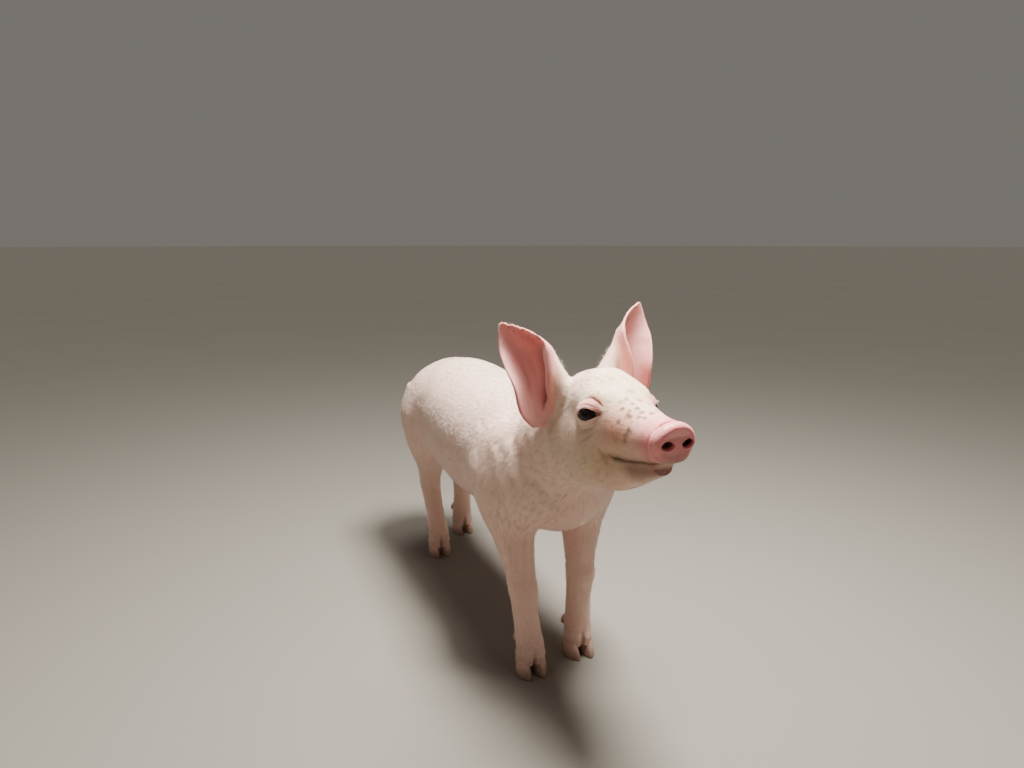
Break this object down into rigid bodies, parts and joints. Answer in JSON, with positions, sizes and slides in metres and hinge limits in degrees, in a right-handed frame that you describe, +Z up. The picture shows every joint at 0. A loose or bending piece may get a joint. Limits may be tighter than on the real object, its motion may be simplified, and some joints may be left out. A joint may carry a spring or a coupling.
{
  "type": "piglet",
  "caption": "Life-size pink young pig standing in mid-step with its head raised and ears up, as a still display model.",
  "frame": {"origin": "middle of the bounding box's base, on the floor that the claws stand on", "axes": "snout towards -Y, the animal's left towards +X, +Z up"},
  "size_m": [0.1556, 0.6192, 0.3701],
  "materials": {
    "skin": "matt pale pink skin with fine white bristles",
    "ear_skin": "thin salmon-pink skin, bare inside",
    "snout_skin": "moist pink bare skin",
    "eye": "wet dark brown eye",
    "claw": "worn tan horn"
  },
  "bodies": {
    "root": {"head": "skin", "snout": "snout_skin", "neck": "skin", "trunk": "skin", "tail": "skin", "ear_left": "ear_skin", "ear_right": "ear_skin", "eye_left": "eye", "eye_right": "eye", "foreleg_left": "skin", "foreleg_right": "skin", "hindleg_left": "skin", "hindleg_right": "skin", "claw_fore_left_left": "claw", "claw_fore_left_right": "claw", "claw_fore_right_left": "claw", "claw_fore_right_right": "claw", "claw_hind_left_left": "claw", "claw_hind_left_right": "claw", "claw_hind_right_left": "claw", "claw_hind_right_right": "claw", "dewclaw_fore_left_left": "claw", "dewclaw_fore_left_right": "claw", "dewclaw_fore_right_left": "claw", "dewclaw_fore_right_right": "claw", "dewclaw_hind_left_left": "claw", "dewclaw_hind_left_right": "claw", "dewclaw_hind_right_left": "claw", "dewclaw_hind_right_right": "claw"}
  },
  "joints": []
}
